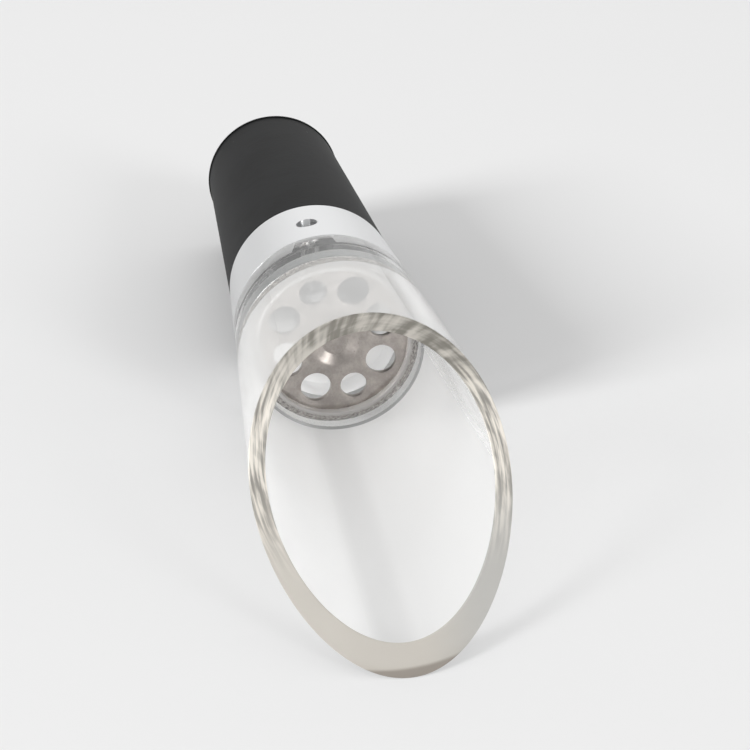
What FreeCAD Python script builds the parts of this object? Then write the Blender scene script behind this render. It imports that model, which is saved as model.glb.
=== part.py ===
"""Wine aerator pourer, a parametric document in millimetres.

Every piece is turned about one axis and drawn with that axis along Z: the inlet end of the stopper
is at station 0 and the lip of the spout is at the far end. Each placement then lays the piece down
as the pourer rests on a table: the mouth faces -Y, the long lip is down and +Z is up. The origin is
on the table, below the middle of the pourer's length.
"""
import FreeCAD
import Part
import Sketcher
from FreeCAD import Vector

import os

# Driving sizes, in millimetres and degrees. A station is a place along the axis.
SIZES = {
    "stopper_length": 37.7,
    "stopper_end_radius": 9.1,
    "stopper_front_radius": 10.5,
    "stopper_bore_radius": 6.9,
    "stopper_web": 1.2,
    "lip_reach": 0.3,
    "lip_width": 1.1,
    "lip_chamfer": 0.25,
    "collar_length": 11.9,
    "flare_angle": 4.1,
    "spigot_radius": 7.6,
    "key_width": 4.2,
    "key_length": 1.6,
    "key_cover": 0.8,
    "air_hole_radius": 1.3,
    "air_hole_setback": 5.45,
    "air_port_radius": 1.0,
    "clocking_angle": 8.5,
    "tail_bore_radius": 4.5,
    "funnel_length": 7.4,
    "throat_radius": 2.0,
    "throat_length": 3.8,
    "outlet_radius": 3.6,
    "chamber_floor": 0.8,
    "chamber_radius": 7.8,
    "chamber_length": 3.4,
    "disc_thickness": 0.8,
    "skirt_length": 2.2,
    "skirt_wall": 0.6,
    "hole_pairs": 4,
    "hole_circle_radius": 5.95,
    "large_hole_radius": 1.8,
    "small_hole_radius": 1.57,
    "disc_clocking_angle": 66.5,
    "dimple_floor_radius": 1.55,
    "dimple_rim_radius": 2.8,
    "dimple_depth": 0.4,
    "dimple_rounding": 0.48,
    "retainer_width": 1.35,
    "retainer_inner_length": 1.1,
    "retainer_outer_length": 0.55,
    "seat_wall": 1.7,
    "seat_depth": 4.2,
    "seat_chamfer": 0.15,
    "bore_wall": 1.68,
    "spout_wall": 1.9,
    "short_side_length": 26.8,
    "long_side_length": 53.4,
    "mouth_scoop": 2.5,
    "mouth_chamfer": 0.2,
    "fit_gap": 0.05,
}

document = FreeCAD.newDocument("WineAeratorPourer")
sheet = document.addObject("Spreadsheet::Sheet", "Sizes")
for row, (alias, value) in enumerate(SIZES.items(), start=1):
    sheet.set(f"A{row}", alias)
    sheet.set(f"B{row}", str(value))
    sheet.setAlias(f"B{row}", alias)
document.recompute()


def flared_radius(station):
    """Give the flush outer radius of collar and spout at a station, as an expression."""
    ahead = f"({station} - Sizes.stopper_length)"
    return f"(Sizes.stopper_front_radius + {ahead} * tan(Sizes.flare_angle * 1 deg))"


# Places and radii that follow from the driving sizes, as expressions.
LIP_RADIUS = "(Sizes.stopper_end_radius + Sizes.lip_reach)"
TAIL_RADIUS = "(Sizes.stopper_bore_radius - Sizes.fit_gap)"
COLLAR_FRONT = "(Sizes.stopper_length + Sizes.collar_length)"
COLLAR_BORE = "(Sizes.spigot_radius + Sizes.fit_gap)"
COLLAR_FRONT_RADIUS = flared_radius(COLLAR_FRONT)
KEY_REAR = f"({COLLAR_FRONT} - Sizes.key_length)"
KEY_FOOT = "(Sizes.spigot_radius / 2)"
KEY_OUTER = f"({flared_radius(KEY_REAR)} - Sizes.key_cover)"
AIR_HOLE_STATION = f"({COLLAR_FRONT} - Sizes.air_hole_setback)"
THROAT_START = f"({AIR_HOLE_STATION} - Sizes.throat_length / 2)"
THROAT_END = f"({AIR_HOLE_STATION} + Sizes.throat_length / 2)"
TAIL_BORE_END = f"({THROAT_START} - Sizes.funnel_length)"
CHAMBER_REAR = f"({COLLAR_FRONT} + Sizes.chamber_floor)"
SEAT_REAR = f"({CHAMBER_REAR} + Sizes.chamber_length)"
DISC_FRONT = f"({SEAT_REAR} + Sizes.skirt_length)"
DISC_REAR = f"({DISC_FRONT} - Sizes.disc_thickness)"
SEAT_FRONT = f"({SEAT_REAR} + Sizes.seat_depth)"
SEAT_RADIUS = f"({flared_radius(SEAT_REAR)} - Sizes.seat_wall)"
SEATED_RADIUS = f"({SEAT_RADIUS} - Sizes.fit_gap)"
BORE_START_RADIUS = f"({flared_radius(SEAT_FRONT)} - Sizes.bore_wall)"
SHORT_SIDE = f"({COLLAR_FRONT} + Sizes.short_side_length)"
LONG_SIDE = f"({COLLAR_FRONT} + Sizes.long_side_length)"
SHORT_SIDE_RADIUS = flared_radius(SHORT_SIDE)
LONG_SIDE_RADIUS = flared_radius(LONG_SIDE)

# The mouth is cut by a wide drum that lies across the spout. Its chord runs from the short side of
# the mouth to the tip of the long side, and it dips below that chord by the scoop.
MOUTH_RISE = f"({SHORT_SIDE_RADIUS} + {LONG_SIDE_RADIUS})"
MOUTH_RUN = "(Sizes.long_side_length - Sizes.short_side_length)"
MOUTH_CHORD = f"sqrt({MOUTH_RISE}^2 + {MOUTH_RUN}^2)"
DRUM_RADIUS = f"(({MOUTH_CHORD}^2 / 4 + Sizes.mouth_scoop^2) / (2 * Sizes.mouth_scoop))"
DRUM_REACH = f"(({DRUM_RADIUS} - Sizes.mouth_scoop) / {MOUTH_CHORD})"
DRUM_HEIGHT = f"(({SHORT_SIDE_RADIUS} - {LONG_SIDE_RADIUS}) / 2 + {MOUTH_RUN} * {DRUM_REACH})"
DRUM_STATION = f"(({SHORT_SIDE} + {LONG_SIDE}) / 2 + {MOUTH_RISE} * {DRUM_REACH})"

# At rest the tip of the long side and the stopper's lip touch the table.
TILT = f"atan(({LONG_SIDE_RADIUS} - {LIP_RADIUS}) / ({LONG_SIDE} - Sizes.lip_chamfer))"
REST_Y = f"({LONG_SIDE} * cos({TILT}) + ({LONG_SIDE_RADIUS} - {LIP_RADIUS}) * sin({TILT})) / 2"
REST_Z = f"{LONG_SIDE_RADIUS} * cos({TILT}) - {LONG_SIDE} * sin({TILT})"


def number(expression):
    """Work out an expression of the sheet's cells as a plain number."""
    result = sheet.evalExpression(expression)
    return float(getattr(result, "Value", result))


def origin_plane(body, role):
    """Find one of a body's own origin planes by its role."""
    return next(item for item in body.Origin.OriginFeatures if item.Role == role)


def add_body(label, turn):
    """Start a piece and lay it on the table, turned about its own axis by an angle expression."""
    body = document.addObject("PartDesign::Body", label)
    body.Label = label
    upright = f"rotation(vector(1; 0; 0); 90 - {TILT} / 1 deg)"
    turned = f"rotation(vector(0; 0; 1); 90 + {turn})"
    body.setExpression("Placement", f"placement(vector(0; {REST_Y}; {REST_Z}); {upright} * {turned})")
    return body


def add_sketch(body, name, role):
    """Add a sketch to a body on one of its own origin planes."""
    sketch = body.newObject("Sketcher::SketchObject", name)
    sketch.AttachmentSupport = [(origin_plane(body, role), "")]
    sketch.MapMode = "FlatFace"
    return sketch


def bind(sketch, constraint, name, expression):
    """Add a named constraint to a sketch and tie its size to the sheet."""
    sketch.renameConstraint(sketch.addConstraint(constraint), name)
    sketch.setExpression(f"Constraints.{name}", expression)


def place_point(sketch, geometry, end, across, along, name):
    """Tie one point of a sketch to its distances from the origin, given as expressions."""
    for kind, axis, expression in (("DistanceX", -2, across), ("DistanceY", -1, along)):
        if expression == "0":
            sketch.addConstraint(Sketcher.Constraint("PointOnObject", geometry, end, axis))
        else:
            value = number(expression)
            constraint = Sketcher.Constraint(kind, -1, 1, geometry, end, value)
            bind(sketch, constraint, f"{name}_{kind[-1].lower()}", expression)


def draw_outline(sketch, corners):
    """Draw a closed outline through corners given as pairs of expressions."""
    points = [Vector(number(across), number(along), 0) for across, along in corners]
    for start, end in zip(points, points[1:] + points[:1]):
        sketch.addGeometry(Part.LineSegment(start, end))
    for index in range(len(points)):
        following = (index + 1) % len(points)
        sketch.addConstraint(Sketcher.Constraint("Coincident", index, 2, following, 1))
    for index, (across, along) in enumerate(corners):
        place_point(sketch, index, 1, across, along, f"corner{index}")


def draw_circle(sketch, name, across, along, radius):
    """Draw a circle whose centre and radius are expressions."""
    centre = Vector(number(across), number(along), 0)
    index = sketch.addGeometry(Part.Circle(centre, Vector(0, 0, 1), number(radius)))
    bind(sketch, Sketcher.Constraint("Radius", index, number(radius)), f"{name}_radius", radius)
    place_point(sketch, index, 3, across, along, name)


def turn_profile(body, corners):
    """Turn a closed profile of (radius, station) corners about the body's axis."""
    sketch = add_sketch(body, f"{body.Label}_profile", "XZ_Plane")
    draw_outline(sketch, corners)
    turned = body.newObject("PartDesign::Revolution", f"{body.Label}_turned")
    turned.Profile = sketch
    turned.ReferenceAxis = (sketch, ["V_Axis"])
    turned.Angle = 360
    document.recompute()
    return turned


def cut_pocket(body, sketch, name):
    """Start a pocket that goes all the way from its sketch."""
    pocket = body.newObject("PartDesign::Pocket", name)
    pocket.Profile = sketch
    pocket.Type = "ThroughAll"
    return pocket


def require_cut(body, volume_before, name):
    """Stop if a cut took nothing away, as when it points out of the solid."""
    document.recompute()
    if body.Shape.Volume >= volume_before - 1e-6:
        raise RuntimeError(f"{name} cut nothing out of {body.Label}")


def drill_air_hole(body, radius):
    """Drill a round hole outwards from the axis, at the collar's air hole."""
    volume = body.Shape.Volume
    sketch = add_sketch(body, f"{body.Label}_air_circle", "YZ_Plane")
    draw_circle(sketch, "air", "0", AIR_HOLE_STATION, radius)
    pocket = cut_pocket(body, sketch, f"{body.Label}_air_hole")
    pocket.Reversed = True
    require_cut(body, volume, "the air hole")


def draw_key(body, name, outer, half_width, rear):
    """Draw the key's outline across the axis, at its rear station."""
    sketch = add_sketch(body, name, "XY_Plane")
    raised = f"placement(vector(0; 0; {rear}); rotation(vector(0; 0; 1); 0))"
    sketch.setExpression("AttachmentOffset", raised)
    draw_outline(sketch, [
        (KEY_FOOT, f"-{half_width}"),
        (outer, f"-{half_width}"),
        (outer, half_width),
        (KEY_FOOT, half_width),
    ])
    return sketch


def edge_names(shape, wanted):
    """Name the edges of a shape that a test picks."""
    return [f"Edge{index}" for index, edge in enumerate(shape.Edges, start=1) if wanted(edge)]


def make_stopper():
    """Hollow tapered rubber plug with a sealing lip round its closed-in end."""
    body = add_body("stopper", "Sizes.clocking_angle")
    turn_profile(body, [
        ("Sizes.tail_bore_radius", "0"),
        (f"({LIP_RADIUS} - Sizes.lip_chamfer)", "0"),
        (LIP_RADIUS, "Sizes.lip_chamfer"),
        (LIP_RADIUS, "(Sizes.lip_width - Sizes.lip_chamfer)"),
        ("Sizes.stopper_end_radius", "Sizes.lip_width"),
        ("Sizes.stopper_front_radius", "Sizes.stopper_length"),
        ("Sizes.stopper_bore_radius", "Sizes.stopper_length"),
        ("Sizes.stopper_bore_radius", "Sizes.stopper_web"),
        ("Sizes.tail_bore_radius", "Sizes.stopper_web"),
    ])
    return body


def make_air_collar():
    """Thick cone-shaped ring with one air hole and a slot for the spout's key."""
    body = add_body("air_collar", "Sizes.clocking_angle")
    turn_profile(body, [
        (COLLAR_BORE, "Sizes.stopper_length"),
        ("Sizes.stopper_front_radius", "Sizes.stopper_length"),
        (COLLAR_FRONT_RADIUS, COLLAR_FRONT),
        (COLLAR_BORE, COLLAR_FRONT),
    ])
    drill_air_hole(body, "Sizes.air_hole_radius")
    volume = body.Shape.Volume
    slot = draw_key(body, "air_collar_slot_outline", f"({KEY_OUTER} + Sizes.fit_gap)",
                    "(Sizes.key_width / 2 + Sizes.fit_gap)", f"({KEY_REAR} - Sizes.fit_gap)")
    pocket = cut_pocket(body, slot, "air_collar_slot")
    pocket.Reversed = True
    require_cut(body, volume, "the key slot")
    return body


def make_spout_body():
    """Clear spout: tail tube, keyed spigot, throat, chamber, disc seat and slanted scooped mouth."""
    body = add_body("spout_body", "Sizes.clocking_angle")
    turn_profile(body, [
        ("Sizes.tail_bore_radius", "Sizes.stopper_web"),
        (TAIL_RADIUS, "Sizes.stopper_web"),
        (TAIL_RADIUS, "Sizes.stopper_length"),
        ("Sizes.spigot_radius", "Sizes.stopper_length"),
        ("Sizes.spigot_radius", COLLAR_FRONT),
        (COLLAR_FRONT_RADIUS, COLLAR_FRONT),
        (LONG_SIDE_RADIUS, LONG_SIDE),
        (f"({LONG_SIDE_RADIUS} - Sizes.spout_wall)", LONG_SIDE),
        (BORE_START_RADIUS, SEAT_FRONT),
        (SEAT_RADIUS, f"({SEAT_FRONT} - Sizes.seat_chamfer)"),
        (SEAT_RADIUS, SEAT_REAR),
        ("Sizes.chamber_radius", SEAT_REAR),
        ("Sizes.chamber_radius", CHAMBER_REAR),
        ("Sizes.outlet_radius", CHAMBER_REAR),
        ("Sizes.throat_radius", THROAT_END),
        ("Sizes.throat_radius", THROAT_START),
        ("Sizes.tail_bore_radius", TAIL_BORE_END),
    ])
    volume = body.Shape.Volume
    key = body.newObject("PartDesign::Pad", "spout_key")
    key.Profile = draw_key(body, "spout_key_outline", KEY_OUTER, "(Sizes.key_width / 2)", KEY_REAR)
    key.setExpression("Length", "Sizes.key_length")
    document.recompute()
    if body.Shape.Volume <= volume:
        raise RuntimeError("the key added nothing to spout_body")
    drill_air_hole(body, "Sizes.air_port_radius")
    volume = body.Shape.Volume
    drum = add_sketch(body, "mouth_drum_outline", "XZ_Plane")
    square = "placement(vector(0; 0; 0); rotation(vector(0; 1; 0); -Sizes.clocking_angle))"
    drum.setExpression("AttachmentOffset", square)
    draw_circle(drum, "drum", DRUM_HEIGHT, DRUM_STATION, DRUM_RADIUS)
    mouth = cut_pocket(body, drum, "mouth_cut")
    mouth.Midplane = True
    require_cut(body, volume, "the mouth cut")
    drum_radius = number(DRUM_RADIUS)
    cut_face = next(face for face in mouth.Shape.Faces if hasattr(face.Surface, "Radius")
                    and abs(face.Surface.Radius - drum_radius) < 1e-6)
    rim = edge_names(mouth.Shape, lambda edge: any(edge.isSame(side) for side in cut_face.Edges))
    broken = body.newObject("PartDesign::Chamfer", "mouth_edge_chamfer")
    broken.Base = (mouth, rim)
    broken.setExpression("Size", "Sizes.mouth_chamfer")
    document.recompute()
    return body


def make_diffuser_disc():
    """Stamped cup with a short skirt, a shallow dimple and large and small holes by turns."""
    body = add_body("diffuser_disc", "Sizes.disc_clocking_angle")
    skirt_inner = f"({SEATED_RADIUS} - Sizes.skirt_wall)"
    turn_profile(body, [
        ("0", f"({DISC_REAR} - Sizes.dimple_depth)"),
        ("Sizes.dimple_floor_radius", f"({DISC_REAR} - Sizes.dimple_depth)"),
        ("Sizes.dimple_rim_radius", DISC_REAR),
        (skirt_inner, DISC_REAR),
        (skirt_inner, SEAT_REAR),
        (SEATED_RADIUS, SEAT_REAR),
        (SEATED_RADIUS, DISC_FRONT),
        ("Sizes.dimple_rim_radius", DISC_FRONT),
        ("Sizes.dimple_floor_radius", f"({DISC_FRONT} - Sizes.dimple_depth)"),
        ("0", f"({DISC_FRONT} - Sizes.dimple_depth)"),
    ])
    turned = body.Tip
    rim = Vector(number("Sizes.dimple_rim_radius"), 0, number(DISC_FRONT))
    rounded = body.newObject("PartDesign::Fillet", "dimple_flank")
    rounded.Base = (turned, edge_names(turned.Shape, lambda edge: hasattr(edge.Curve, "Radius")
                                       and abs(edge.Curve.Radius - rim.x) < 1e-6
                                       and abs(edge.Curve.Center.z - rim.z) < 1e-6))
    span = "(Sizes.dimple_rim_radius - Sizes.dimple_floor_radius)"
    slant = f"sqrt({span}^2 + Sizes.dimple_depth^2)"
    largest = f"({slant} * ({slant} + {span}) / Sizes.dimple_depth)"
    rounded.setExpression("Radius", f"Sizes.dimple_rounding * {largest}")
    document.recompute()
    volume = body.Shape.Volume
    sketch = add_sketch(body, "hole_pair_outline", "XY_Plane")
    draw_circle(sketch, "large", "Sizes.hole_circle_radius", "0", "Sizes.large_hole_radius")
    half_pitch = "(180 deg / Sizes.hole_pairs)"
    draw_circle(sketch, "small", f"(Sizes.hole_circle_radius * cos({half_pitch}))",
                f"(Sizes.hole_circle_radius * sin({half_pitch}))", "Sizes.small_hole_radius")
    pocket = cut_pocket(body, sketch, "hole_pair")
    pocket.Reversed = True
    require_cut(body, volume, "the hole pair")
    pattern = body.newObject("PartDesign::PolarPattern", "hole_ring")
    pattern.Originals = [pocket]
    pattern.Axis = (sketch, ["N_Axis"])
    pattern.Angle = 360
    pattern.setExpression("Occurrences", "Sizes.hole_pairs")
    body.Tip = pattern
    document.recompute()
    return body


def make_disc_retainer():
    """Clear ring that sits on the disc's rim inside the seat, with a sloping front face."""
    body = add_body("disc_retainer", "Sizes.clocking_angle")
    inner = f"({SEATED_RADIUS} - Sizes.retainer_width)"
    turn_profile(body, [
        (inner, DISC_FRONT),
        (SEATED_RADIUS, DISC_FRONT),
        (SEATED_RADIUS, f"({DISC_FRONT} + Sizes.retainer_outer_length)"),
        (inner, f"({DISC_FRONT} + Sizes.retainer_inner_length)"),
    ])
    return body


def main():
    """Build every piece, check it and write it to a file of its own name."""
    makers = (make_stopper, make_air_collar, make_spout_body, make_diffuser_disc, make_disc_retainer)
    pieces = [make() for make in makers]
    document.recompute()
    for item in document.Objects:
        if {"Invalid", "Error"} & set(item.State):
            raise RuntimeError(f"{item.Label} failed: {item.State}")
    os.makedirs("parts", exist_ok=True)
    for piece in pieces:
        shape = piece.Shape
        if shape.isNull() or not shape.isValid() or len(shape.Solids) != 1:
            raise RuntimeError(f"{piece.Label} is not one valid solid")
        shape.exportStep(f"parts/{piece.Label}.step")
        box = shape.BoundBox
        print(f"{piece.Label}: {shape.Volume:.1f} mm3, x {box.XMin:.2f} to {box.XMax:.2f}, "
              f"y {box.YMin:.2f} to {box.YMax:.2f}, z {box.ZMin:.2f} to {box.ZMax:.2f}")
    print(f"tilt at rest {number(TILT):.2f} degrees, drum radius {number(DRUM_RADIUS):.1f} mm")


main()
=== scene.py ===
"""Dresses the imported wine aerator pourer: clear flared spout, aluminium collar, rubber stopper."""
import logging
import math
from dataclasses import dataclass
from enum import Enum
from typing import Callable, Optional, Sequence, Union

import bpy
from mathutils import Matrix, Vector


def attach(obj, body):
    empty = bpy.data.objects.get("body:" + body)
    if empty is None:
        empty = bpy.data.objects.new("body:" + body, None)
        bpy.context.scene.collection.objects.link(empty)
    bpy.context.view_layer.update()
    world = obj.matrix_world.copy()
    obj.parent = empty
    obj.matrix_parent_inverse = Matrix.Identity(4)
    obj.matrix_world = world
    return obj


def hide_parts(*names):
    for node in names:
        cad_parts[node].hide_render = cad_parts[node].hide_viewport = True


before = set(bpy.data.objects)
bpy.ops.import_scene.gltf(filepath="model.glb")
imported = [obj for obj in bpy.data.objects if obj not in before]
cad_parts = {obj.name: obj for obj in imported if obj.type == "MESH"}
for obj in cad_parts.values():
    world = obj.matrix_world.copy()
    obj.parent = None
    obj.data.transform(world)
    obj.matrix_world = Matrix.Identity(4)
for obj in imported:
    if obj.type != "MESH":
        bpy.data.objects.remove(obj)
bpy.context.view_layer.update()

LOG = logging.getLogger("pourer")
MM = 0.001
NEAR = 1e-7
Colour = tuple[float, float, float]
Span = tuple[float, float]


class Turn(Enum):
    """How many facets a turned piece has round its axis."""

    FINE = 256
    SMALL = 64


class Way(Enum):
    """What a tool does to the piece that it meets."""

    AWAY = "DIFFERENCE"
    JOIN = "UNION"


class Ray(Enum):
    """The kinds of ray that pass the clear walls unbent."""

    SHADOW = "Is Shadow Ray"
    DIFFUSE = "Is Diffuse Ray"


class Skin(Enum):
    """Material slots of the clear spout after the polished one."""

    SAWN = 1
    HAZY = 2
    SATIN = 3


@dataclass(frozen=True)
class Corner:
    """One corner of a turned outline, in millimetres.

    Args:
        radius: distance from the axis.
        station: distance along the axis from the stopper's end.
        fillet: radius that breaks the corner, or 0 for a sharp one.
        steps: how many points the broken corner gets.
    """

    radius: float
    station: float
    fillet: float = 0.0
    steps: int = 4


@dataclass(frozen=True)
class Lie:
    """How the pourer lies on the table: its axis is tilted so that tip and lip touch."""

    tilt_deg: float = 3.2201
    start_y: float = 51.581
    start_z: float = 9.3711
    clocking_deg: float = 8.5

    def matrix(self) -> Matrix:
        """Give the matrix from the upright workshop frame to the table's frame."""
        tilt = math.radians(self.tilt_deg)
        up = Vector((0.0, math.sin(tilt), math.cos(tilt)))
        side = Vector((-1.0, 0.0, 0.0))
        along = Vector((0.0, -math.cos(tilt), math.sin(tilt)))
        place = Matrix((up, side, along)).transposed().to_4x4()
        place.translation = Vector((0.0, self.start_y, self.start_z)) * MM
        return place


LIE = Lie()


@dataclass(frozen=True)
class Flare:
    """The flush cone that collar and spout share."""

    start_radius: float = 10.5
    start_station: float = 37.7
    angle_deg: float = 4.1

    @property
    def slope(self) -> float:
        """Give how much the radius grows with each unit of length."""
        return math.tan(math.radians(self.angle_deg))

    def radius(self, station: float) -> float:
        """Give the cone's radius at a station."""
        return self.start_radius + (station - self.start_station) * self.slope


FLARE = Flare()


# ---------------------------------------------------------------- shaping


def pick_none() -> None:
    """Deselect every object."""
    bpy.ops.object.select_all(action="DESELECT")


def pick(piece: bpy.types.Object) -> None:
    """Select one object alone and make it active."""
    pick_none()
    piece.select_set(True)
    bpy.context.view_layer.objects.active = piece


def edit(piece: bpy.types.Object) -> None:
    """Open one object in edit mode with nothing selected."""
    pick(piece)
    bpy.ops.object.mode_set(mode="EDIT")
    bpy.ops.mesh.select_all(action="DESELECT")


def leave_edit() -> None:
    """Go back to object mode."""
    bpy.ops.object.mode_set(mode="OBJECT")


def choose_vertices(piece: bpy.types.Object, wanted: Callable[[Vector], bool]) -> None:
    """Select the vertices whose place passes a test.

    Args:
        piece: object in edit mode.
        wanted: test of a vertex's place.
    """
    bpy.ops.mesh.select_mode(type="VERT")
    bpy.ops.mesh.select_all(action="DESELECT")
    leave_edit()
    for vertex in piece.data.vertices:
        vertex.select = wanted(vertex.co)
    bpy.ops.object.mode_set(mode="EDIT")
    bpy.ops.mesh.select_mode(type="VERT")


def broken_outline(corners: Sequence[Corner]) -> list[tuple[float, float]]:
    """Work out an outline's points with each filleted corner replaced by a short arc.

    Args:
        corners: the outline's corners in order.
    Returns:
        Radius and station of every point, in millimetres.
    """
    points: list[tuple[float, float]] = []
    count = len(corners)
    for index, corner in enumerate(corners):
        here = Vector((corner.radius, corner.station))
        if corner.fillet <= 0.0:
            points.append((here.x, here.y))
            continue
        before = corners[(index - 1) % count]
        after = corners[(index + 1) % count]
        back = (Vector((before.radius, before.station)) - here).normalized()
        ahead = (Vector((after.radius, after.station)) - here).normalized()
        half = back.angle(ahead) / 2.0
        reach = corner.fillet / math.tan(half)
        centre = here + (back + ahead).normalized() * (corner.fillet / math.sin(half))
        first = here + back * reach - centre
        last = here + ahead * reach - centre
        sweep = first.angle_signed(last)
        for step in range(corner.steps + 1):
            turned = first.copy()
            turned.rotate(Matrix.Rotation(-sweep * step / corner.steps, 2))
            points.append((centre.x + turned.x, centre.y + turned.y))
    return points


def turn_ring(name: str, corners: Sequence[Corner], facets: Turn = Turn.FINE,
              centre: tuple[float, float] = (0.0, 0.0)) -> bpy.types.Object:
    """Turn a closed outline round the axis by growing a circle ring by ring.

    Args:
        name: name of the new object.
        corners: closed outline, each corner off the axis.
        facets: number of facets round the axis.
        centre: where the axis stands, for cutters that stand off the middle.
    Returns:
        The turned object, upright in the workshop frame.
    """
    points = broken_outline(corners)
    start_radius, start_station = points[0]
    pick_none()
    bpy.ops.mesh.primitive_circle_add(
        vertices=facets.value, radius=start_radius * MM, fill_type="NOTHING",
        location=(centre[0] * MM, centre[1] * MM, start_station * MM))
    piece = bpy.context.object
    piece.name = name
    piece.data.name = name
    bpy.ops.object.transform_apply(location=True, rotation=True, scale=True)
    bpy.ops.object.mode_set(mode="EDIT")
    bpy.ops.mesh.select_all(action="SELECT")
    radius, station = start_radius, start_station
    for next_radius, next_station in list(points[1:]) + [points[0]]:
        bpy.ops.mesh.extrude_region_move(
            TRANSFORM_OT_translate={"value": (0.0, 0.0, (next_station - station) * MM)})
        grow = next_radius / radius
        if abs(grow - 1.0) > 1e-9:
            bpy.ops.transform.resize(value=(grow, grow, 1.0),
                                     center_override=(centre[0] * MM, centre[1] * MM, next_station * MM))
        radius, station = next_radius, next_station
    bpy.ops.mesh.select_all(action="SELECT")
    bpy.ops.mesh.remove_doubles(threshold=NEAR)
    bpy.ops.mesh.normals_make_consistent(inside=False)
    leave_edit()
    return piece


def turn_plug(name: str, corners: Sequence[Corner], facets: Turn = Turn.SMALL,
              centre: tuple[float, float] = (0.0, 0.0)) -> bpy.types.Object:
    """Turn an open outline whose two ends are closed by flat caps.

    Args:
        name: name of the new object.
        corners: outline from one cap's rim to the other's.
        facets: number of facets round the axis.
        centre: where the plug's axis stands.
    Returns:
        The turned plug, upright in the workshop frame.
    """
    first, last = corners[0], corners[-1]
    pin = 0.02
    inner = (Corner(pin, last.station), Corner(pin, first.station))
    plug = turn_ring(name, (*corners, *inner), facets, centre)
    edit(plug)
    for end in (first, last):
        choose_vertices(plug, lambda place, end=end: abs(place.z - end.station * MM) < NEAR
                        and math.hypot(place.x - centre[0] * MM, place.y - centre[1] * MM) < 1.5 * pin * MM)
        bpy.ops.mesh.merge(type="CENTER")
    bpy.ops.mesh.select_all(action="SELECT")
    bpy.ops.mesh.delete_loose()
    bpy.ops.mesh.select_all(action="SELECT")
    bpy.ops.mesh.normals_make_consistent(inside=False)
    leave_edit()
    return plug


def aim(piece: bpy.types.Object, matrix: Matrix) -> None:
    """Place an object by a matrix and write that place into its mesh."""
    pick(piece)
    piece.matrix_world = matrix
    bpy.ops.object.transform_apply(location=True, rotation=True, scale=True)


def cut(piece: bpy.types.Object, tool: bpy.types.Object, way: Way = Way.AWAY) -> None:
    """Join or cut a piece by a tool and delete the tool.

    Args:
        piece: the object that changes.
        tool: the object that cuts or joins.
        way: what the tool does.
    """
    pick(piece)
    change = piece.modifiers.new("cut", "BOOLEAN")
    change.operation = way.value
    change.solver = "EXACT"
    change.object = tool
    bpy.ops.object.modifier_apply(modifier=change.name)
    bpy.data.objects.remove(tool, do_unlink=True)


def smooth(piece: bpy.types.Object, angle_deg: float = 33.0) -> None:
    """Shade a piece smooth across gentle edges, led by its largest faces."""
    pick(piece)
    bpy.ops.object.shade_smooth_by_angle(angle=math.radians(angle_deg), keep_sharp_edges=True)
    lead = piece.modifiers.new("lead", "WEIGHTED_NORMAL")
    lead.mode = "FACE_AREA"
    lead.weight = 60
    lead.keep_sharp = True
    bpy.ops.object.modifier_apply(modifier=lead.name)


def finish_piece(piece: bpy.types.Object, node: str, finish: "Finish") -> None:
    """Lay a finished piece on the table in its node's place and dress it.

    Args:
        piece: object modelled upright in the workshop frame.
        node: CAD node that the piece stands for.
        finish: its finish.
    """
    aim(piece, LIE.matrix())
    smooth(piece)
    piece.data.materials.clear()
    piece.data.materials.append(finish.material())
    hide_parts(node)
    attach(piece, "root")
    LOG.info("%s: %d faces", piece.name, len(piece.data.polygons))


# ---------------------------------------------------------------- finishes

Value = Union[float, "Wire"]
ACRYLIC_IOR = 1.49
PASSING = 0.985


class Wire:
    """A shader socket that takes part in Python sums."""

    def __init__(self, recipe: "Recipe", socket: bpy.types.NodeSocket) -> None:
        """Hold a socket of a recipe."""
        self.recipe = recipe
        self.socket = socket

    def _sum(self, operation: str, first: Value, second: Value) -> "Wire":
        """Add one Math node."""
        return self.recipe.add("ShaderNodeMath", {"operation": operation}, {0: first, 1: second})

    def __add__(self, other: Value) -> "Wire":
        """Add."""
        return self._sum("ADD", self, other)

    __radd__ = __add__

    def __sub__(self, other: Value) -> "Wire":
        """Subtract."""
        return self._sum("SUBTRACT", self, other)

    def __rsub__(self, other: Value) -> "Wire":
        """Subtract from a number."""
        return self._sum("SUBTRACT", other, self)

    def __mul__(self, other: Value) -> "Wire":
        """Multiply."""
        return self._sum("MULTIPLY", self, other)

    __rmul__ = __mul__

    def over(self, limit: Value) -> "Wire":
        """Give 1 where the value is above a limit."""
        return self._sum("GREATER_THAN", self, limit)

    def widest(self, other: Value) -> "Wire":
        """Give the larger of two values."""
        return self._sum("MAXIMUM", self, other)


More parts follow.
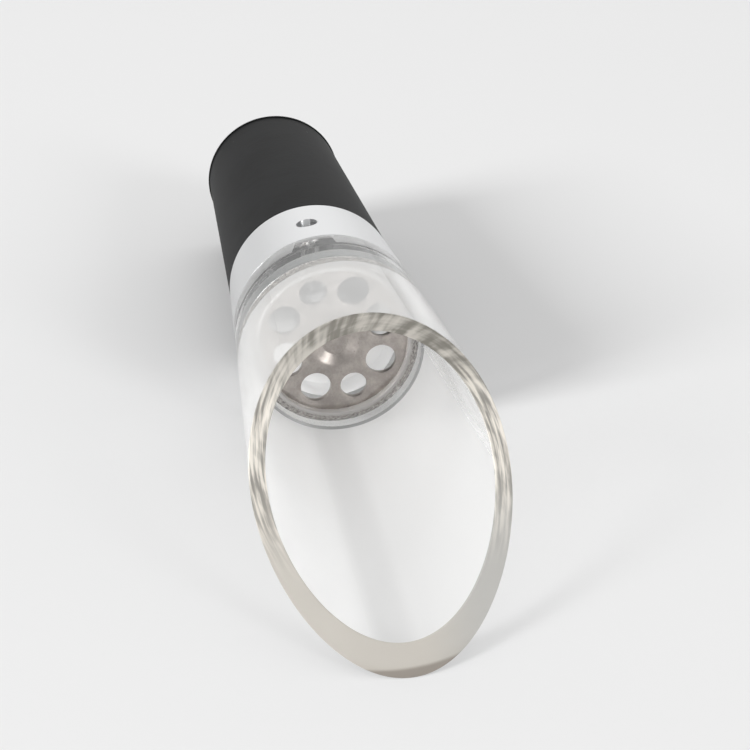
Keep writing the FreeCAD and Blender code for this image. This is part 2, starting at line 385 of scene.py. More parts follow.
class Recipe:
    """Node tree of one material, built from Python."""

    def __init__(self, name: str) -> None:
        """Start an empty material."""
        self.material = bpy.data.materials.new(name)
        self.material.use_nodes = True
        self.tree = self.material.node_tree
        self.tree.nodes.clear()

    @classmethod
    def of_tree(cls, tree: bpy.types.NodeTree) -> "Recipe":
        """Start a recipe in a tree that exists already."""
        recipe = cls.__new__(cls)
        recipe.tree = tree
        return recipe

    def add(self, kind: str, settings: Optional[dict] = None, inputs: Optional[dict] = None,
            output: Union[int, str] = 0) -> Wire:
        """Add a node.

        Args:
            kind: node type.
            settings: attributes that are set first.
            inputs: values or wires by socket name or number.
            output: name or number of the output that is returned.
        Returns:
            The chosen output.
        """
        node = self.tree.nodes.new(kind)
        for key, value in (settings or {}).items():
            setattr(node, key, value)
        for key, value in (inputs or {}).items():
            socket = node.inputs[key]
            if isinstance(value, Wire):
                self.tree.links.new(value.socket, socket)
            else:
                socket.default_value = value
        return Wire(self, node.outputs[output])

    def place(self, shift: Sequence[float] = (0.0, 0.0, 0.0),
              turn: Sequence[float] = (0.0, 0.0, 0.0)) -> Wire:
        """Give object coordinates, turned and shifted by a Mapping node."""
        where = self.add("ShaderNodeTexCoord", output="Object")
        return self.add("ShaderNodeMapping", inputs={"Vector": where, "Location": shift, "Rotation": turn})

    def axis_place(self, stretch: Sequence[float] = (1.0, 1.0, 1.0)) -> Wire:
        """Give coordinates that run across and along the pourer's own axis, stretched."""
        back = LIE.matrix().inverted()
        upright = self.place(back.translation, back.to_euler("XYZ"))
        return self.add("ShaderNodeVectorMath", {"operation": "MULTIPLY"}, {0: upright, 1: stretch})

    def part(self, vector: Wire, axis: str) -> Wire:
        """Give one part of a vector, X, Y or Z."""
        return self.add("ShaderNodeSeparateXYZ", inputs={0: vector}, output=axis)

    def join(self, first: Value, second: Value) -> Wire:
        """Give a vector of two values."""
        return self.add("ShaderNodeCombineXYZ", inputs={0: first, 1: second})

    def round_axis(self, where: Wire) -> tuple[Wire, Wire]:
        """Give the turn about the pourer's axis, in radians, and the distance from it."""
        up, side = self.part(where, "X"), self.part(where, "Y")
        return self.math("ARCTAN2", side, up), self.math("SQRT", up * up + side * side)

    def math(self, operation: str, first: Value, second: Value = 0.0) -> Wire:
        """Give the result of one Math node."""
        return self.add("ShaderNodeMath", {"operation": operation}, {0: first, 1: second})

    def fade(self, value: Wire, low: float, high: float) -> Wire:
        """Give a smooth step from 0 below one limit to 1 above another."""
        return self.add("ShaderNodeMapRange", {"interpolation_type": "SMOOTHSTEP"},
                        {"Value": value, "From Min": low, "From Max": high})

    def noise(self, where: Wire, scale: float, detail: float = 2.0, rough: float = 0.5) -> Wire:
        """Give noise from 0 to 1."""
        return self.add("ShaderNodeTexNoise", inputs={"Vector": where, "Scale": scale, "Detail": detail,
                                                      "Roughness": rough})

    def shades(self, amount: Value, colour: Colour, dark: float, light: float) -> Wire:
        """Mix a darker and a lighter shade of one colour."""
        return self.blend(amount, [c * dark for c in colour], [c * light for c in colour])

    def blend(self, amount: Value, first: object, second: object) -> Wire:
        """Mix two colours."""
        inputs = {"Factor": amount, 6: first if isinstance(first, Wire) else (*first, 1.0),
                  7: second if isinstance(second, Wire) else (*second, 1.0)}
        return self.add("ShaderNodeMix", {"data_type": "RGBA"}, inputs, output=2)

    def bump(self, height: Wire, strength: float, depth: float) -> Wire:
        """Give a normal that a height bends."""
        return self.add("ShaderNodeBump", inputs={"Height": height, "Strength": strength, "Distance": depth})

    def surface(self, **sockets: object) -> Wire:
        """Add a Principled shader.

        Args:
            sockets: values or wires of the shader, spaces written as underscores.
        Returns:
            The shader's output.
        """
        return self.add("ShaderNodeBsdfPrincipled", inputs={key.replace("_", " "): value
                                                            for key, value in sockets.items()})

    def close(self, **sockets: object) -> bpy.types.Material:
        """Add the surface shader and the output and give the finished material."""
        self.add_output(self.surface(**sockets))
        return self.material

    def close_clear(self, passing: float, **sockets: object) -> bpy.types.Material:
        """Finish a clear material that lamps and scattered light shine through.

        Args:
            passing: share of that light that the surface lets pass.
            sockets: values or wires of the Principled shader, spaces written as underscores.
        Returns:
            The finished material.
        """
        return self.let_pass(passing, self.surface(**sockets))

    def let_pass(self, passing: float, body: Wire) -> bpy.types.Material:
        """Finish a material whose shader gives way to a window for lamps and scattered light."""
        shadow, scattered = (self.add("ShaderNodeLightPath", output=ray.value) for ray in Ray)
        window = self.add("ShaderNodeBsdfTransparent", inputs={"Color": (passing, passing, passing, 1.0)})
        self.add_output(self.add("ShaderNodeMixShader", inputs={
            0: shadow.widest(scattered), 1: body, 2: window}))
        return self.material

    def add_output(self, surface: Wire) -> None:
        """Add the output node."""
        out = self.tree.nodes.new("ShaderNodeOutputMaterial")
        self.tree.links.new(surface.socket, out.inputs["Surface"])


class Finish:
    """A finish that makes its material once; its lengths are metres across and along the pourer's axis."""

    made: dict[str, bpy.types.Material] = {}

    def material(self) -> bpy.types.Material:
        """Give the finish's material, made on first use."""
        name = type(self).__name__
        if name not in Finish.made:
            Finish.made[name] = self.build(Recipe(name))
        return Finish.made[name]

    def build(self, recipe: Recipe) -> bpy.types.Material:
        """Build the material."""
        raise NotImplementedError


@dataclass(frozen=True)
class ClearAcrylic(Finish):
    """Thick polished acrylic, faintly warm."""

    tint: Colour = (0.985, 0.982, 0.972)
    passing: float = 0.995

    def build(self, recipe: Recipe) -> bpy.types.Material:
        """Build the material."""
        return recipe.close_clear(
            self.passing,
            Base_Color=(*self.tint, 1.0),
            Roughness=0.0,
            Transmission_Weight=1.0,
            IOR=ACRYLIC_IOR)


@dataclass(frozen=True)
class HazyAcrylic(Finish):
    """The same acrylic where the bore was reamed, rougher below, with painted light (a white glow on its
    lower left side) and a painted shadow band along the bottom.
    """

    tint: Colour = (0.955, 0.955, 0.95)
    faint: Colour = (0.08, 0.08, 0.08)
    white: Colour = (1.0, 1.0, 1.0)
    haze_and_glow_up: Span = (-0.003, 0.006)
    painted_glow_side: Span = (0.0018, 0.005)
    haze_rough: float = 0.3
    polish: float = 0.04
    shadow_band_side_mm: float = 0.9
    shadow_band_across_mm2: Span = (9.0, 0.1)
    shadow_band_up: Span = (-0.006, -0.0095)
    shadow_band_shade: float = 0.89
    step_station: Span = (0.05808, 0.05799)
    step_shade: float = 0.42
    clear_share: float = 0.68
    shine: float = 0.25
    glow: float = 0.09

    def build(self, recipe: Recipe) -> bpy.types.Material:
        """Build the material: rougher below with a painted glow on the lower left, a painted shadow band
        along the bottom, a dark line at the seat's step.
        """
        where = recipe.axis_place()
        up, side, station = (recipe.part(where, axis) for axis in "XYZ")
        low = 1.0 - recipe.fade(up, *self.haze_and_glow_up)
        # Painted shadow: a darker band along the bottom of the bore.
        off = side * 1000.0 - self.shadow_band_side_mm
        shadow_band = recipe.fade(off * off, *self.shadow_band_across_mm2) * recipe.fade(up, *self.shadow_band_up)
        step = recipe.fade(station, *self.step_station)
        shadow_banded = recipe.blend(shadow_band, self.tint, [c * self.shadow_band_shade for c in self.tint])
        # Painted light: the lower left of the bore glows white and the rest glows faintly, though none of it
        # is a lamp.
        painted_glow = recipe.fade(side, *self.painted_glow_side) * low * (1.0 - step)
        return recipe.close_clear(
            PASSING,
            Base_Color=recipe.blend(step, shadow_banded, [c * self.step_shade for c in self.tint]),
            Roughness=low * self.haze_rough + self.polish,
            Transmission_Weight=self.clear_share,
            Specular_IOR_Level=self.shine,
            Emission_Color=recipe.blend(painted_glow, self.faint, self.white),
            Emission_Strength=self.glow,
            IOR=ACRYLIC_IOR)


@dataclass(frozen=True)
class SatinAcrylic(Finish):
    """The same acrylic in the mixing chamber, whose lower half is white and glows as painted light."""

    tint: Colour = (0.96, 0.96, 0.955)
    white: Colour = (1.0, 1.0, 1.0)
    painted_glow_up: Span = (0.0025, -0.0045)
    clear_share: float = 0.3
    rough: float = 0.25
    shine: float = 0.25
    glow: float = 0.3

    def build(self, recipe: Recipe) -> bpy.types.Material:
        """Build the material, clear above, white with a painted glow below."""
        # Painted light: the lower half is a white surface that emits light.
        white = recipe.surface(
            Base_Color=(*self.tint, 1.0),
            Roughness=self.rough,
            Transmission_Weight=self.clear_share,
            Specular_IOR_Level=self.shine,
            Emission_Color=(*self.white, 1.0),
            Emission_Strength=self.glow,
            IOR=ACRYLIC_IOR)
        clear = recipe.surface(
            Base_Color=(*self.tint, 1.0),
            Roughness=0.0,
            Transmission_Weight=1.0,
            IOR=ACRYLIC_IOR)
        low = recipe.fade(recipe.part(recipe.axis_place(), "X"), *self.painted_glow_up)
        body = recipe.add("ShaderNodeMixShader", inputs={0: low, 1: clear, 2: white})
        return recipe.let_pass(PASSING, body)


@dataclass(frozen=True)
class SawnAcrylic(Finish):
    """The same acrylic on the mouth's cut face: sawn, then polished until only faint lines stay."""

    low_tone: Colour = (0.59, 0.555, 0.5)
    grey_tone: Colour = (0.49, 0.48, 0.455)
    dark_tone: Colour = (0.19, 0.178, 0.152)
    bright_tone: Colour = (0.53, 0.50, 0.45)
    tip_shadow_tone: Colour = (0.24, 0.205, 0.175)
    grey_side: Span = (-0.001, -0.009)
    streak_up: Span = (-0.009, 0.0)
    top_up: Span = (0.004, 0.0105)
    top_contrast: Span = (0.42, 0.6)
    streak_contrast: Span = (0.4, 0.6)
    tip_up: Span = (-0.0085, -0.0105)
    tip_soft: Span = (-0.00002, 0.00022)
    tip_middle: float = 0.0006
    tip_half_width: float = 0.00526
    tip_depth: float = 0.0006
    tip_fray: float = 0.0001
    tip_shadow_strength: float = 0.75
    passing: float = 0.55

    def build(self, recipe: Recipe) -> bpy.types.Material:
        """Build the material: blotches across the wall on top, streaks round it at the sides with painted
        highlights, plain below, and a painted shadow crescent under the tip.
        """
        where = recipe.axis_place()
        up, side = recipe.part(where, "X"), recipe.part(where, "Y")
        turn, reach = recipe.round_axis(where)
        across = recipe.noise(recipe.join(turn * 7.0 + reach * 420.0, reach * 150.0), 1.0, 3.0)
        along = recipe.noise(recipe.join(turn * 3.2, reach * 2300.0 + turn * 2.1), 1.0, 3.0)
        top = recipe.blend(recipe.fade(across * 0.75 + along * 0.25, *self.top_contrast),
                           self.dark_tone, self.bright_tone)
        # The streaks follow the faint saw lines. Their lighter shade, up to 1.6 times the low tone, is a
        # painted highlight.
        streaked = recipe.shades(recipe.fade(along * 0.8 + across * 0.2, *self.streak_contrast),
                                 self.low_tone, 0.5, 1.6)
        plain = recipe.blend(recipe.fade(side, *self.grey_side), self.low_tone, self.grey_tone)
        tone = recipe.blend(recipe.fade(up, *self.streak_up), plain, streaked)
        tone = recipe.blend(recipe.fade(up, *self.top_up), tone, top)
        # Painted shadow: a dark crescent along the outer edge under the tip.
        tip = self.tip_shadow_mask(recipe, where, reach, along)
        tone = recipe.blend(tip * self.tip_shadow_strength, tone, self.tip_shadow_tone)
        return recipe.close_clear(
            self.passing,
            Base_Color=tone,
            Roughness=0.3,
            Transmission_Weight=0.2,
            IOR=ACRYLIC_IOR)

    def tip_shadow_mask(self, recipe: Recipe, where: Wire, reach: Wire, ragged: Wire) -> Wire:
        """Give 1 on the painted shadow, a dark crescent along the outer edge under the tip, and 0 elsewhere.

        Args:
            recipe: the material's recipe.
            where: coordinates along the pourer's axis.
            reach: distance from the axis.
            ragged: noise that frays the crescent's inner edge.
        Returns:
            The mask.
        """
        outer = recipe.part(where, "Z") * FLARE.slope + FLARE.radius(0.0) * MM
        swing = (recipe.part(where, "Y") + self.tip_middle) * (1.0 / self.tip_half_width)
        depth = reach - outer + (1.0 - swing * swing) * self.tip_depth + ragged * self.tip_fray
        return recipe.fade(depth, *self.tip_soft) * recipe.fade(recipe.part(where, "X"), *self.tip_up)


@dataclass(frozen=True)
class CloudyRing(Finish):
    """Clear ring whose inner slope is milky and whose outer part is speckled with set glue."""

    milky: Colour = (0.7, 0.69, 0.675)
    glued: Colour = (0.47, 0.455, 0.435)
    glue_reach: Span = (0.00885, 0.00925)
    glue_contrast: Span = (0.36, 0.66)
    shore_fray: float = 0.0004
    passing: float = 0.9

    def build(self, recipe: Recipe) -> bpy.types.Material:
        """Build the material."""
        where = recipe.axis_place()
        turn, reach = recipe.round_axis(where)
        speck = recipe.noise(recipe.join(turn * 22.0, reach * 5200.0), 1.0, 4.0, 0.7)
        glue = recipe.shades(recipe.fade(speck, *self.glue_contrast), self.glued, 0.5, 1.6)
        shore = reach + (recipe.noise(where, 900.0, 2.0) - 0.5) * self.shore_fray
        zone = recipe.fade(shore, *self.glue_reach)
        return recipe.close_clear(
            self.passing,
            Base_Color=recipe.blend(zone, self.milky, glue),
            Roughness=0.1,
            Transmission_Weight=0.6,
            IOR=ACRYLIC_IOR)


@dataclass(frozen=True)
class GluedAluminium(Finish):
    """The collar's inner faces under their film of set glue, painted lighter deep in the bore and lower down
    as painted light.
    """

    colour: Colour = (0.53, 0.535, 0.535)
    painted_light_colour: Colour = (0.78, 0.78, 0.77)
    painted_light_station: Span = (0.0493, 0.0495)
    painted_light_up: Span = (-0.001, 0.004)
    painted_light_top_loss: float = 0.8

    def build(self, recipe: Recipe) -> bpy.types.Material:
        """Build the material."""
        where = recipe.axis_place()
        film = recipe.noise(where, 700.0, 3.0, 0.6)
        tone = recipe.shades(film, self.colour, 0.75, 1.25)
        # Painted light: deep in the bore the faces are lighter, most of all low down.
        deep_painted_light = 1.0 - recipe.fade(recipe.part(where, "Z"), *self.painted_light_station)
        low = 1.0 - recipe.fade(recipe.part(where, "X"), *self.painted_light_up) * self.painted_light_top_loss
        return recipe.close(
            Base_Color=recipe.blend(deep_painted_light * low, tone, self.painted_light_colour),
            Metallic=0.2,
            Roughness=0.4,
            Normal=recipe.bump(film, 0.2, 0.00003))


@dataclass(frozen=True)
class SatinAluminium(Finish):
    """Turned and bead-blasted aluminium with a silver anodised bloom."""

    colour: Colour = (0.74, 0.745, 0.75)

    def build(self, recipe: Recipe) -> bpy.types.Material:
        """Build the material."""
        where = recipe.axis_place()
        grain = recipe.noise(where, 5200.0, 2.0)
        cloud = recipe.noise(where, 140.0, 2.0)
        return recipe.close(
            Base_Color=recipe.shades(cloud, self.colour, 0.97, 1.0),
            Metallic=1.0,
            Roughness=0.34 + (grain - 0.5) * 0.1,
            Normal=recipe.bump(grain, 0.12, 0.00001))


@dataclass(frozen=True)
class StampedSteel(Finish):
    """Thin stamped stainless sheet with a fine rolled grain; the skirt's outer side gets a darker, cooler
    copy of its colour as painted shade.
    """

    colour: Colour = (0.42, 0.385, 0.36)
    skirt_shade_colour: Colour = (0.21, 0.22, 0.222)
    skirt_shade_reach: Span = (0.00965, 0.0098)
    contrast: Span = (0.36, 0.64)

    def build(self, recipe: Recipe) -> bpy.types.Material:
        """Build the material."""
        where = recipe.axis_place()
        _, reach = recipe.round_axis(where)
        speck = recipe.noise(where, 3800.0, 3.0, 0.65)
        cloud = recipe.noise(where, 620.0, 4.0, 0.6)
        tone = recipe.shades(recipe.fade(cloud * 0.7 + speck * 0.3, *self.contrast), self.colour, 0.82, 1.08)
        return recipe.close(
            # Painted shade: the skirt's outer side takes the darker skirt colour.
            Base_Color=recipe.blend(recipe.fade(reach, *self.skirt_shade_reach), tone, self.skirt_shade_colour),
            Metallic=1.0,
            Roughness=0.3 + (speck - 0.5) * 0.12,
            Normal=recipe.bump(speck, 0.1, 0.00001))


@dataclass(frozen=True)
class MatteRubber(Finish):
    """Smooth matte black rubber with a few grains of dust."""

    colour: Colour = (0.0066, 0.0068, 0.0071)
    dust_colour: Colour = (0.3, 0.3, 0.3)
    contrast: Span = (0.34, 0.66)

    def build(self, recipe: Recipe) -> bpy.types.Material:
        """Build the material."""
        where = recipe.place()
        cloud = recipe.noise(where, 130.0, 4.0, 0.6)
        rubbed = recipe.noise(recipe.axis_place((300.0, 300.0, 1500.0)), 1.0, 3.0, 0.6)
        skin = recipe.noise(where, 2600.0, 2.0)
        grains = recipe.add("ShaderNodeTexVoronoi", {"feature": "F1"}, {"Vector": where, "Scale": 330.0})
        dust = (1.0 - grains * 12.0).widest(0.0) * recipe.noise(where, 420.0, 0.0).over(0.6)
        worn = recipe.fade(cloud * 0.82 + rubbed * 0.18, *self.contrast)
        tone = recipe.shades(worn, self.colour, 0.72, 1.9)
        return recipe.close(
            Base_Color=recipe.blend(dust * 0.5, tone, self.dust_colour),
            Roughness=0.55 + (cloud - 0.5) * 0.12,
            Specular_IOR_Level=0.1,
            Normal=recipe.bump(skin, 0.3, 0.00004))


@dataclass(frozen=True)
class StudioFloor(Finish):
    """Near-white table top with barely visible dust."""

    colour: Colour = (0.85, 0.85, 0.85)

    def build(self, recipe: Recipe) -> bpy.types.Material:
        """Build the material."""
        tone = recipe.shades(recipe.noise(recipe.place(), 14.0, 2.0), self.colour, 0.99, 1.0)
        return recipe.close(Base_Color=tone, Roughness=0.75, Specular_IOR_Level=0.2)


# ---------------------------------------------------------------- the pieces


@dataclass
class Stopper:
    """Tapered hollow rubber plug with a lip round its closed-in end."""

    length: float = 37.7
    end_radius: float = 9.1
    front_radius: float = 10.5
    lip_radius: float = 9.28
    lip_width: float = 0.35
    bore_radius: float = 6.9
    inlet_radius: float = 4.5
    web: float = 1.2

    def build(self) -> bpy.types.Object:
        """Build and dress the stopper."""
        piece = turn_ring("rubber_stopper", (
            Corner(self.inlet_radius, 0.0, 0.25),
            Corner(self.lip_radius, 0.0, 0.12),
            Corner(self.lip_radius, self.lip_width, 0.1),
            Corner(self.end_radius + 0.02, self.lip_width + 0.05, 0.02, 2),
            Corner(self.front_radius, self.length, 0.18),
            Corner(self.bore_radius, self.length),
            Corner(self.bore_radius, self.web),
            Corner(self.inlet_radius, self.web)))
        finish_piece(piece, "stopper", MatteRubber())
        return piece


@dataclass
class AirCollar:
    """Thick aluminium ring with one air hole and a slot for the spout's key."""

    rear: float = 37.7
    front: float = 49.6
    bore_radius: float = 7.59
    edge: float = 0.12
    hole_radius: float = 1.3
    hole_station: float = 44.15
    hole_start: float = 5.0
    slot_width: float = 4.18
    slot_rear: float = 48.01
    slot_top: float = 10.43
    sorting_slack: float = 0.1

    def build(self) -> bpy.types.Object:
        """Build and dress the collar."""
        piece = turn_ring("air_collar_ring", (
            Corner(self.bore_radius, self.rear),
            Corner(FLARE.radius(self.rear), self.rear, self.edge),
            Corner(FLARE.radius(self.front), self.front, self.edge),
            Corner(self.bore_radius, self.front)))
        cut(piece, radial_plug("hole", self.hole_radius, self.hole_station, self.hole_start,
                               FLARE.radius(self.hole_station)))
        cut(piece, key_block("slot", self.slot_width, self.slot_rear, self.front + 1.0, self.slot_top))
        finish_piece(piece, "air_collar", SatinAluminium())
        self.dress_inside(piece)
        return piece

    def dress_inside(self, piece: bpy.types.Object) -> None:
        """Give the bore and the key's slot the glued finish."""
        piece.data.materials.append(GluedAluminium().material())
        back = LIE.matrix().inverted()
        for face in piece.data.polygons:
            middle = back @ face.center / MM
            reach = math.hypot(middle.x, middle.y)
            in_slot = self.slot_rear - 0.02 < middle.z and reach < self.slot_top + self.sorting_slack
            if in_slot or reach < self.bore_radius + self.sorting_slack:
                face.material_index = 1


def radial_plug(name: str, radius: float, station: float, start: float, end: float) -> bpy.types.Object:
    """Make a round cutter that points outward at the clocking angle, with a flared outer edge.

    Args:
        name: name of the cutter.
        radius: radius of the hole.
        station: where the hole sits along the axis.
        start: distance of the cutter's inner end from the axis.
        end: distance from the axis of the surface that it opens in.
    Returns:
        The cutter.
    """
    edge = 0.1
    plug = turn_plug(name, (
        Corner(radius, start),
        Corner(radius, end - edge),
        Corner(radius + edge * 0.3, end - edge * 0.35),
        Corner(radius + edge, end + edge / 2),
        Corner(radius + edge, end + 2.0)))
    clocking = Matrix.Rotation(math.radians(LIE.clocking_deg), 4, "Z")
    tip_over = Matrix.Rotation(math.radians(90.0), 4, "Y")
    aim(plug, Matrix.Translation((0.0, 0.0, station * MM)) @ clocking @ tip_over)
    return plug


def key_block(name: str, width: float, rear: float, front: float, top: float) -> bpy.types.Object:
    """Make a block that stands outward from the spigot at the clocking angle.

    Args:
        name: name of the block.
        width: its width across.
        rear: its rear station.
        front: its front station.
        top: distance of its top from the axis.
    Returns:
        The block.
    """
    foot = 3.8
    pick_none()
    bpy.ops.mesh.primitive_cube_add(size=1.0)
    block = bpy.context.object
    block.name = name
    block.scale = ((top - foot) * MM, width * MM, (front - rear) * MM)
    block.location = ((top + foot) / 2 * MM, 0.0, (front + rear) / 2 * MM)
    bpy.ops.object.transform_apply(location=True, rotation=True, scale=True)
    aim(block, Matrix.Rotation(math.radians(LIE.clocking_deg), 4, "Z"))
    return block


@dataclass
class ClearSpout:
    """One clear body: tail tube, keyed spigot, throat, chamber, seat and slanted scooped mouth."""

    tail_bore: float = 4.5
    tail_radius: float = 6.85
    tail_start: float = 1.2
    spigot_radius: float = 7.6
    spigot_start: float = 37.7
    collar_front: float = 49.6
    seam: float = -0.01
    funnel_start: float = 34.85
    throat_radius: float = 2.0
    throat_start: float = 42.25
    throat_end: float = 46.05
    outlet_radius: float = 3.6
    chamber_rear: float = 50.4
    chamber_radius: float = 7.8
    seat_rear: float = 53.8
    seat_radius: float = 9.954
    seat_front: float = 58.0
    bore_start_radius: float = 10.275
    long_side: float = 103.0
    short_side: float = 76.4
    wall_at_mouth: float = 1.9
    scoop: float = 2.5
    mouth_edge: float = 0.16
    key_width: float = 4.2
    key_rear: float = 48.0
    key_top: float = 10.44
    port_radius: float = 1.0
    port_station: float = 44.15
    port_start: float = 0.5
    mouth_slack: float = 0.25
    bore_slack: float = 0.02
    chamber_reach: float = 9.0
    longest_cell: float = 0.6

    def drum(self) -> tuple[float, float, float]:
        """Give the mouth drum's height, station and radius."""
        low, high = FLARE.radius(self.short_side), FLARE.radius(self.long_side)
        rise, run = low + high, self.long_side - self.short_side
        chord = math.hypot(rise, run)
        radius = (chord ** 2 / 4 + self.scoop ** 2) / (2 * self.scoop)
        reach = (radius - self.scoop) / chord
        return (low - high) / 2 + run * reach, (self.short_side + self.long_side) / 2 + rise * reach, radius

    def bore(self, station: float) -> float:
        """Give the bore's radius ahead of the seat."""
        end = FLARE.radius(self.long_side) - self.wall_at_mouth
        share = (station - self.seat_front) / (self.long_side - self.seat_front)
        return self.bore_start_radius + (end - self.bore_start_radius) * share

    def slide_to_mouth(self, piece: bpy.types.Object) -> None:
        """Slide the two rings at the open end along the walls until they meet the mouth's drum.

        Args:
            piece: turned spout whose end is still square.
        """
        height, station, drum_radius = self.drum()
        outer_end = FLARE.radius(self.long_side)
        inner_end = self.bore(self.long_side)
        for vertex in piece.data.vertices:
            if abs(vertex.co.z - self.long_side * MM) > NEAR:
                continue
            across = math.hypot(vertex.co.x, vertex.co.y) / MM
            wall = FLARE.radius if abs(across - outer_end) < abs(across - inner_end) else self.bore
            cosine = vertex.co.x / (across * MM)
            sine = vertex.co.y / (across * MM)
            met = self.long_side
            for _ in range(30):
                met = station - math.sqrt(drum_radius ** 2 - (wall(met) * cosine - height) ** 2)
            vertex.co = Vector((wall(met) * cosine, wall(met) * sine, met)) * MM

    def build(self) -> bpy.types.Object:
        """Build and dress the spout."""
        piece = turn_ring("clear_spout", (
            Corner(self.tail_bore, self.tail_start, 0.2),
            Corner(self.tail_radius, self.tail_start, 0.2),
            Corner(self.tail_radius, self.spigot_start),
            Corner(self.spigot_radius, self.spigot_start, 0.12),
            Corner(self.spigot_radius, self.collar_front + self.seam),
            Corner(FLARE.radius(self.collar_front), self.collar_front + self.seam, 0.12),
            Corner(FLARE.radius(self.collar_front + 1.0), self.collar_front + 1.0),
            Corner(FLARE.radius(self.long_side), self.long_side),
            Corner(self.bore(self.long_side), self.long_side),
            Corner(self.bore_start_radius, self.seat_front, 0.06, 2),
            Corner(self.seat_radius, self.seat_front - 0.15, 0.04, 2),
            Corner(self.seat_radius, self.seat_rear, 0.05, 2),
            Corner(self.chamber_radius, self.seat_rear, 0.08),
            Corner(self.chamber_radius, self.chamber_rear, 0.15),
            Corner(self.outlet_radius, self.chamber_rear, 0.15),
            Corner(self.throat_radius, self.throat_end, 0.5),
            Corner(self.throat_radius, self.throat_start, 0.8),
            Corner(self.tail_bore, self.funnel_start, 0.8)))
        self.slide_to_mouth(piece)
        edit(piece)
        self.choose_mouth_edges(piece)
        bpy.ops.mesh.bevel(offset=self.mouth_edge * MM, segments=3, affect="EDGES", clamp_overlap=False)
        leave_edit()
        cut(piece, key_block("key", self.key_width, self.key_rear, self.collar_front + 0.6, self.key_top),
            Way.JOIN)
        cut(piece, radial_plug("port", self.port_radius, self.port_station, self.port_start,
                               self.spigot_radius))
        finish_piece(piece, "spout_body", ClearAcrylic())
        self.dress_walls(piece)
        return piece

    def dress_walls(self, piece: bpy.types.Object) -> None:
        """Give the mouth's cut face, the bore and the chamber their own finishes."""
        for finish in (SawnAcrylic(), HazyAcrylic(), SatinAcrylic()):
            piece.data.materials.append(finish.material())
        height, station, drum_radius = self.drum()
        back = LIE.matrix().inverted()
        for face in piece.data.polygons:
            places = [back @ piece.data.vertices[i].co / MM for i in face.vertices]
            if all(abs(math.hypot(p.x - height, p.z - station) - drum_radius) < self.mouth_slack
                   for p in places):
                face.material_index = Skin.SAWN.value
            elif all(self.seat_front - 0.2 < p.z and math.hypot(p.x, p.y) < self.bore(p.z) + self.bore_slack
                     for p in places):
                face.material_index = Skin.HAZY.value
            elif all(self.chamber_rear - 0.01 < p.z < self.seat_rear + 0.01
                     and math.hypot(p.x, p.y) < self.chamber_reach for p in places):
                face.material_index = Skin.SATIN.value

    def choose_mouth_edges(self, piece: bpy.types.Object) -> None:
        """Select the two edge loops round the mouth, in edit mode."""
        height, station, drum_radius = self.drum()
        bpy.ops.mesh.select_mode(type="EDGE")
        leave_edit()
        on_drum = [abs(math.hypot(v.co.x / MM - height, v.co.z / MM - station) - drum_radius) < 1e-3
                   for v in piece.data.vertices]
        for edge in piece.data.edges:
            first, last = (piece.data.vertices[i].co for i in edge.vertices)
            across = [math.hypot(place.x, place.y) / MM for place in (first, last)]
            is_short = abs(across[0] - across[1]) < self.longest_cell
            edge.select = all(on_drum[i] for i in edge.vertices) and is_short
        bpy.ops.object.mode_set(mode="EDIT")


@dataclass
class DiffuserDisc:
    """Stamped disc with a shallow dimple and a ring of large and small holes by turns."""

    rear: float = 55.2
    front: float = 56.0
    radius: float = 9.9
    skirt_end: float = 53.8
    skirt_wall: float = 0.6
    dimple_floor: float = 1.55
    dimple_rim: float = 3.0
    dimple_depth: float = 0.68
    pairs: int = 4
    hole_circle: float = 5.95
    large_radius: float = 1.8
    small_radius: float = 1.57
    clocking_deg: float = 66.5
    edge: float = 0.15

    def build(self) -> bpy.types.Object:
        """Build and dress the disc."""
        piece = turn_plug("perforated_disc", (
            Corner(self.dimple_floor, self.rear - self.dimple_depth, 0.25),
            Corner(self.dimple_rim, self.rear, 0.25),
            Corner(self.radius - self.skirt_wall, self.rear, 0.1),
            Corner(self.radius - self.skirt_wall, self.skirt_end, 0.1),
            Corner(self.radius, self.skirt_end, 0.1),
            Corner(self.radius, self.front, 0.3, 6),
            Corner(self.dimple_rim, self.front, 1.9, 12),
            Corner(self.dimple_floor, self.front - self.dimple_depth, 0.12, 4)), Turn.FINE)
        for index in range(2 * self.pairs):
            angle = math.radians(self.clocking_deg + index * 180.0 / self.pairs)
            radius = self.small_radius if index % 2 else self.large_radius
            middle = (self.hole_circle * math.cos(angle), self.hole_circle * math.sin(angle))
            tool = turn_plug("punch", (
                Corner(radius + self.edge, self.rear - 1.0),
                Corner(radius + self.edge, self.rear),
                Corner(radius + self.edge * 0.3, self.rear + self.edge * 0.3),
                Corner(radius, self.rear + self.edge),
                Corner(radius, self.front - self.edge),
                Corner(radius + self.edge * 0.3, self.front - self.edge * 0.3),
                Corner(radius + self.edge, self.front),
                Corner(radius + self.edge, self.front + 1.0)), Turn.SMALL, middle)
            cut(piece, tool)
        finish_piece(piece, "diffuser_disc", StampedSteel())
        return piece


@dataclass
class DiscRetainer:
    """Clear ring that sits on the disc's rim, with a sloping front face."""

    rear: float = 56.0
    outer_radius: float = 9.9
    inner_radius: float = 8.55
    outer_length: float = 0.55
    inner_length: float = 1.1

    def build(self) -> bpy.types.Object:
        """Build and dress the ring."""
        piece = turn_ring("clear_retainer", (
            Corner(self.inner_radius, self.rear, 0.08, 2),
            Corner(self.outer_radius, self.rear, 0.05, 2),
            Corner(self.outer_radius, self.rear + self.outer_length, 0.08, 3),
            Corner(self.inner_radius, self.rear + self.inner_length, 0.15, 4)))
        finish_piece(piece, "disc_retainer", CloudyRing())
        return piece


# ---------------------------------------------------------------- the studio


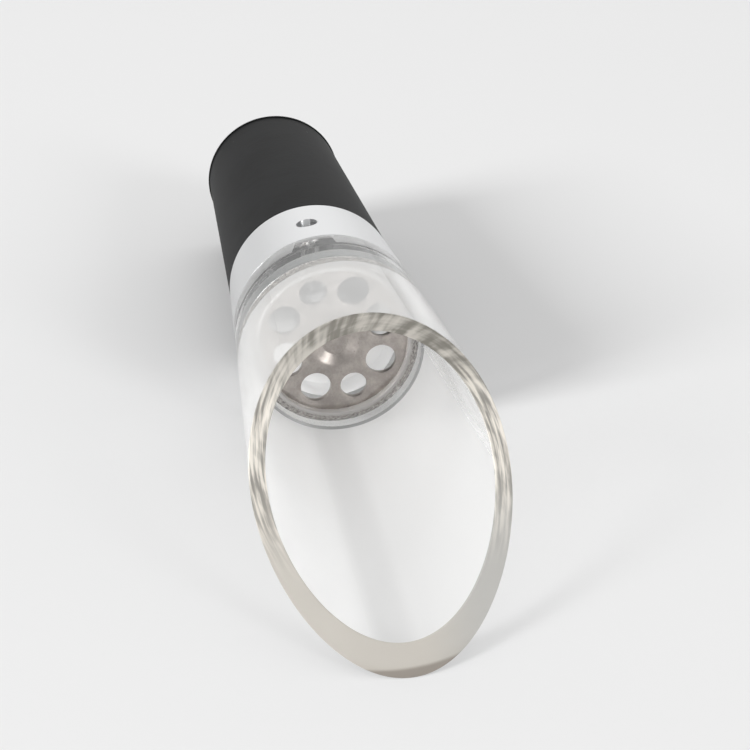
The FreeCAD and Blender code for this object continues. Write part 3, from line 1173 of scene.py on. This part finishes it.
@dataclass
class Camera:
    """The photograph's camera, fitted to the pourer's edges."""

    place: tuple[float, float, float] = (-33.459, -208.8956, 125.9551)
    pitch_deg: float = 29.5542
    yaw_deg: float = 10.5905
    roll_deg: float = -0.9862
    lens: float = 96.0

    def build(self) -> bpy.types.Object:
        """Set up the camera."""
        pitch, yaw, roll = (math.radians(a) for a in (self.pitch_deg, self.yaw_deg, self.roll_deg))
        level = Vector((math.sin(yaw), math.cos(yaw), 0.0))
        across = Vector((math.cos(yaw), -math.sin(yaw), 0.0))
        up = Vector((0.0, 0.0, 1.0))
        forward = math.cos(pitch) * level - math.sin(pitch) * up
        down = -math.cos(pitch) * up - math.sin(pitch) * level
        right = math.cos(roll) * across + math.sin(roll) * down
        below = -math.sin(roll) * across + math.cos(roll) * down
        matrix = Matrix((right, -below, -forward)).transposed().to_4x4()
        matrix.translation = Vector(self.place) * MM
        data = bpy.data.cameras.new("photo_camera")
        data.lens = self.lens
        data.sensor_width = 36.0
        data.clip_start = 0.01
        data.clip_end = 20.0
        camera = bpy.data.objects.new("photo_camera", data)
        camera.matrix_world = matrix
        bpy.context.scene.collection.objects.link(camera)
        bpy.context.scene.camera = camera
        return camera


@dataclass(frozen=True)
class Softbox:
    """One soft light."""

    name: str
    place: tuple[float, float, float]
    size: tuple[float, float]
    watts: float

    def build(self) -> None:
        """Hang the light, aimed at the pourer."""
        data = bpy.data.lights.new(self.name, "AREA")
        data.shape = "RECTANGLE"
        data.size, data.size_y = self.size
        data.energy = self.watts
        light = bpy.data.objects.new(self.name, data)
        light.location = self.place
        aimed = Vector((0.0, 0.0, 0.0)) - Vector(self.place)
        light.rotation_euler = aimed.to_track_quat("-Z", "Y").to_euler()
        bpy.context.scene.collection.objects.link(light)


@dataclass
class Studio:
    """Pale floor, soft dome and two softboxes low at the sides."""

    floor_size: float = 6.0
    horizon: float = 0.905
    zenith_drop: float = 0.44
    front_drop: float = 0.35
    left_drop: float = 0.24
    back_glow: float = 1.45
    glow_yaw_deg: float = 10.6
    boxes: tuple[Softbox, ...] = (
        Softbox("left_box", (-2.53, -0.92, 1.31), (0.75, 1.0), 62.0),
        Softbox("right_box", (1.62, -2.15, 1.31), (0.75, 1.0), 20.0),
    )

    def build(self) -> None:
        """Build floor, dome and lights."""
        pick_none()
        bpy.ops.mesh.primitive_plane_add(size=self.floor_size, location=(0.0, 0.0, 0.0))
        floor = bpy.context.object
        floor.name = "studio_floor"
        floor.data.materials.append(StudioFloor().material())
        self.build_dome()
        for box in self.boxes:
            box.build()

    def build_dome(self) -> None:
        """Light the room all round, more from behind the pourer, with no edge that shows as a stripe."""
        world = bpy.data.worlds.new("studio_dome")
        world.use_nodes = True
        world.node_tree.nodes.clear()
        recipe = Recipe.of_tree(world.node_tree)
        yaw = math.radians(self.glow_yaw_deg)
        way = recipe.add("ShaderNodeTexCoord", output="Generated")
        ahead = recipe.add("ShaderNodeVectorMath", {"operation": "DOT_PRODUCT"},
                           {0: way, 1: (math.sin(yaw), math.cos(yaw), 0.0)}, output="Value")
        high = recipe.part(way, "Z").widest(0.0)
        front = (-1.0 * ahead).widest(0.0)
        back = ahead.widest(0.0)
        left = (-1.0 * recipe.part(way, "X")).widest(0.0)
        strength = (self.horizon - high * self.zenith_drop - front * front * self.front_drop
                    - left * self.left_drop + back * back * high * self.back_glow)
        sky = recipe.add("ShaderNodeBackground", inputs={"Color": (1.0, 1.0, 1.0, 1.0), "Strength": strength})
        out = world.node_tree.nodes.new("ShaderNodeOutputWorld")
        world.node_tree.links.new(sky.socket, out.inputs["Surface"])
        bpy.context.scene.world = world


def let_light_through(paths: bpy.types.PropertyGroup) -> None:
    """Allow the long paths that light takes inside the thick clear walls."""
    paths.max_bounces = 40
    paths.glossy_bounces = 32
    paths.transmission_bounces = 40


def main() -> None:
    """Build the pourer and its studio in order."""
    logging.basicConfig(level=logging.INFO, format="%(name)s: %(message)s")
    bpy.context.scene.view_settings.view_transform = "Standard"
    let_light_through(bpy.context.scene.cycles)
    Camera().build()
    for maker in (Stopper(), AirCollar(), ClearSpout(), DiffuserDisc(), DiscRetainer()):
        maker.build()
    Studio().build()


if __name__ == "__main__":
    main()
